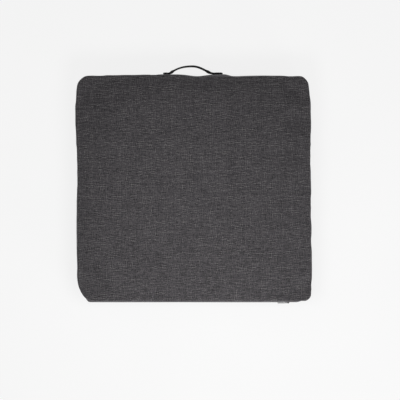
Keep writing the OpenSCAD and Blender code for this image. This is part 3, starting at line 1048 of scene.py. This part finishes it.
post_outline = rounded_box(-1.3 * MM, 1.3 * MM, 2.3 * MM, 0.4 * MM)
post_place = (SLIDER_HIGH.x - 3 * MM, POST_Y, MID)
lug_outline = arc(0, 0, 1.2 * MM, 180, 360, 14) + [(2.6 * MM, 1.7 * MM), (-2.6 * MM, 1.7 * MM)]
slider_parts = [
    slider_shell(SLIDER_LOW.y + 2.95 * MM, OUTER_EDGE_Y, 0.8 * MM),
    slider_shell(SLIDER_HIGH.y - 0.35 * MM, SLIDER_HIGH.y - 0.85 * MM, 0.7 * MM),
    plate([post_outline], 0.9 * MM, 0.15 * MM, post_place, XY),
]
for sign in (1, -1):
    lug_z = MID + sign * 2.7 * MM
    slider_parts.append(plate([lug_outline], 1.0 * MM, 0.22 * MM, (PIN_X, PIN_Y, lug_z), XY))
    slider_parts.append(round_pin(0.85 * MM, 0.35 * MM, 0.15 * MM, lug_z + sign * 0.5 * MM))
slider_parts.append(round_pin(0.58 * MM, 5.4 * MM, 0.1 * MM, MID))
slider = sharp_rims(merged("zip_slider_body", slider_parts), 40)
dress(slider, METAL, "slider", ["zip_slider"])

pull_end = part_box("zip_pull")[0].x - PIN_X
body_half, neck_half, pull_t = 4.0 * MM, 1.9 * MM, 1.2 * MM
tab_side = [(-13.5, 3.7), (-10.6, 2.9), (-8.6, 1.9), (-0.9, 1.9)]  # in millimetres
tab_outline = arc(pull_end + body_half, 0, body_half, 90, 270, 16)
tab_outline += [(x * MM, -y * MM) for x, y in tab_side] + [(x * MM, y * MM) for x, y in tab_side[::-1]]
window = arc(pull_end + body_half, 0, 2.5 * MM, 90, 270, 12)
window += arc(-14.6 * MM, 0, 2.2 * MM, 270, 450, 12)
inlay = rounded_box(pull_end + 0.9 * MM, -12.0 * MM, 2.8 * MM, 1.8 * MM)
eye = [arc(0, 0, 1.15 * MM, 0, 345, 24), arc(0, 0, 0.65 * MM, 0, 345, 24)]
on_pin = (PIN_X, PIN_Y, MID)
pull_parts = [
    plate([tab_outline, window], pull_t, 0.25 * MM, on_pin, XZ),
    plate([inlay], 0.55 * MM, 0.1 * MM, on_pin, XZ),
    plate(eye, 2 * neck_half, 0.12 * MM, on_pin, XY),
]
pull = sharp_rims(merged("zip_pull_tab", pull_parts), 40)
dress(pull, METAL, "pull", ["zip_pull"])

ROW_RISE = SLOT + 2.6 * MM  # stitches round the slot, from its middle
ROW_END = SLOT_END + 3 * MM
OFF_ZIP_WALL = (0, -1, 0)
lip_stitches = []
for sign in (1, -1):
    z = MID + sign * ROW_RISE
    row = (-ROW_END, ZIP_WALL, z), (ROW_END, ZIP_WALL, z)
    lip_stitches += stitch_row(*row, OFF_ZIP_WALL, 3.4 * MM, 2.9 * MM, 0.34 * MM)
for end in (-1, 1):
    for beside in (-0.5 * MM, 0.5 * MM):
        x = end * ROW_END + beside
        row = (x, ZIP_WALL, MID - ROW_RISE), (x, ZIP_WALL, MID + ROW_RISE)
        lip_stitches += stitch_row(*row, OFF_ZIP_WALL, 2.6 * MM, 2.5 * MM, 0.36 * MM)
dress(merged("zip_stitching", lip_stitches), THREAD)

# -------- the handle

STRAP_T = 2.4 * MM
STRAP_W = 30 * MM
LIE = HANDLE_WALL + STRAP_T * 1.5 + 0.2 * MM  # middle of the strap where it lies on its folded end
# the loop's two halves, in millimetres along the wall and off it
LEFT_CURVE = ((-64, 0), (-54, 0.6), (-45.5, 18.5), (-3, 18.5))
RIGHT_CURVE = ((-3, 18.5), (22, 18.5), (37, 0.3), (52, 0))
UNDER_ENDS = -63 * MM, 55 * MM  # where the strap's folded ends stop, under its feet


def straight(first, last, count, height):
    return np.stack([np.linspace(first, last, count), np.full(count, height)], 1)


def cubic(points, t):
    p = [np.array(q, float) * MM for q in points]
    t = t[:, None]
    return (1 - t) ** 3 * p[0] + 3 * (1 - t) ** 2 * t * p[1] + 3 * (1 - t) * t ** 2 * p[2] + t ** 3 * p[3]


def strap_path():
    """The strap from one folded end, over the loop, to the other, as (x, height over LIE)."""
    left_x, right_x = FOOT_X
    under = -STRAP_T - 0.1 * MM
    fold_r = -under / 2
    left_x, right_x = left_x + fold_r, right_x - fold_r  # where the folds turn
    turn = np.radians(np.arange(0, 181, 20))
    sine, cosine = np.sin(turn) * fold_r, np.cos(turn) * fold_r
    t = np.linspace(0, 1, 40)
    parts = [
        straight(UNDER_ENDS[0], left_x, 10, under)[:-1],
        np.stack([left_x - sine, under / 2 - cosine], 1),
        straight(left_x, LEFT_CURVE[0][0] * MM, 12, 0)[1:-1],
        cubic(LEFT_CURVE, t),
        cubic(RIGHT_CURVE, t)[1:],
        straight(RIGHT_CURVE[-1][0] * MM, right_x, 16, 0)[1:-1],
        np.stack([right_x + sine, under / 2 + cosine], 1),
        straight(right_x, UNDER_ENDS[1], 10, under)[1:],
    ]
    return np.concatenate(parts)


plan = strap_path()
path = np.stack([plan[:, 0], LIE + plan[:, 1], np.full(len(plan), MID)], 1)
# how far the strap leans over where it is free of the wall
free = ease(plan[:, 1] / (14 * MM))
lean = np.radians(1.5 - 2.5 * ease(plan[:, 0] / (80 * MM) + 0.5)) * free
leaving = ease(plan[:, 1] / (8 * MM))
lean -= np.radians(5.0) * 4 * leaving * (1 - leaving)  # the strap twists where it leaves its ends
# its section, with rounded edges and more points along its flat sides
half_w, half_t, edge_r = STRAP_W / 2, STRAP_T / 2, 0.8 * MM
section = []
for first, side_x, side_y in ((0, 1, 1), (90, -1, 1), (180, -1, -1), (270, 1, -1)):
    cx, cy = side_x * (half_w - edge_r), side_y * (half_t - edge_r)
    section += arc(cx, cy, edge_r, first, first + 90, 4)
    if first in (0, 180):
        section += [(side_y * share * half_w, side_y * half_t) for share in (0.6, 0.2, -0.2, -0.6)]
# its flat side faces off the wall, turned by the lean
ahead = unit(np.gradient(path, axis=0))
out = np.stack([-ahead[:, 1], ahead[:, 0], np.zeros(len(path))], 1)
up = out * np.cos(lean)[:, None] + np.array([0, 0, 1]) * np.sin(lean)[:, None]
strap = sharp_rims(add_object("handle_strap", *sweep(path, section, up)), 60)
strap_parts = "end_left", "end_right", "bend_left", "bend_right", "grip"
strap_nodes = [f"handle_{part}" for part in strap_parts]
dress(strap, STRAP, body=None, replaced=strap_nodes)
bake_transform(strap)

for side in ("left", "right"):
    low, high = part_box(f"handle_stitching_{side}")
    y = LIE + STRAP_T / 2
    x0, x1, z0, z1 = low.x + 1 * MM, high.x - 1 * MM, low.z + 0.6 * MM, high.z - 0.6 * MM
    corners = [(x0, y, z0), (x1, y, z0), (x1, y, z1), (x0, y, z1)]
    rows = []
    for first, last in ((0, 1), (1, 2), (2, 3), (3, 0), (0, 2), (1, 3)):
        ends = corners[first], corners[last]
        rows += stitch_row(*ends, (0, 1, 0), 3.4 * MM, 2.7 * MM, 0.34 * MM)
    thread = merged(f"handle_thread_{side}", rows)
    dress(thread, THREAD, replaced=[f"handle_stitching_{side}"])
    low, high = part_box(f"handle_backing_{side}")
    a, b = np.linspace(low.x, high.x, 16), np.linspace(low.z, high.z, 16)
    A, B = np.meshgrid(a, b, indexing="ij")
    y = HANDLE_WALL - COVER_T - 0.60 * MM - hollow(A) + 0.05 * MM * waves(A + B, 15 * MM, 3)
    patch, uv = np.stack([A, y, B], -1), np.stack([A, B], -1)
    obj = add_sheet(f"handle_patch_{side}", patch, uv, 0.9 * MM)
    dress(sharp_rims(obj), BACKING, replaced=[f"handle_backing_{side}"])

# -------- floor, lights and camera

WHITE = (1, 1, 1, 1)
FLOOR_HALF = 6.0
floor_plan = ((-1, -1), (1, -1), (1, 1), (-1, 1))
floor_points = [(FLOOR_HALF * x, FLOOR_HALF * y, 0) for x, y in floor_plan]
floor = add_object("floor", floor_points, [(0, 1, 2, 3)])
g = new_material("floor")
mottle = g.noise(g.object_place(), 3, 2)
floor_inputs = {
    "Base Color": g.ramp(mottle, (0.3, grey(0.165)), (0.7, grey(0.175))),
    "Roughness": 0.9,
    "Specular IOR Level": 0.0,
    "Emission Color": WHITE,
    "Emission Strength": 0.825,
}
g.node("OutputMaterial", {"Surface": g.node("BsdfPrincipled", floor_inputs)})
floor.data.materials.append(g.owner)


def area_light(name, place, aim, size, power):
    data = bpy.data.lights.new(name, "AREA")
    data.shape, data.size, data.energy = "DISK", size, power
    light = bpy.data.objects.new(name, data)
    light.location = place
    light.rotation_euler = (Vector(aim) - Vector(place)).to_track_quat("-Z", "Y").to_euler()
    light.visible_camera = False
    scene.collection.objects.link(light)


area_light("lamp", (0.02, -0.23, 0.86), (0.0, -0.16, 0), 0.35, 2.9)
area_light("key", (1.10, -1.50, 0.50), (0.05, -0.15, 0.05), 0.9, 10)
area_light("fill", (-0.6, 0.6, 2.6), (0, 0, 0), 2.2, 3)

world = bpy.data.worlds.new("studio")
g = Graph(world)
lit = g.node("Background", {"Color": WHITE, "Strength": 0.30})  # what lights the cushion
seen = g.node("Background", {"Color": WHITE, "Strength": 0.90})  # what the camera sees past the floor
by_camera = g.node("LightPath", output="Is Camera Ray")
g.node("OutputWorld", {"Surface": g.node("MixShader", {0: by_camera, 1: lit, 2: seen})})
scene.world = world

FRAME_SPAN = 1.028  # metres across the picture, at the cushion's middle height
OFF_CENTRE = 0.0172, -0.0301  # how far the picture's middle is from the cushion's, in metres
LENS, SENSOR = 100.0, 36.0
camera_data = bpy.data.cameras.new("camera")
camera_data.lens, camera_data.sensor_width = LENS, SENSOR
camera_data.shift_x = OFF_CENTRE[0] / FRAME_SPAN
camera_data.shift_y = OFF_CENTRE[1] / FRAME_SPAN
camera = bpy.data.objects.new("camera", camera_data)
camera.location = (0, 0, MID + FRAME_SPAN / 2 / (SENSOR / 2 / LENS))
scene.collection.objects.link(camera)
scene.camera = camera
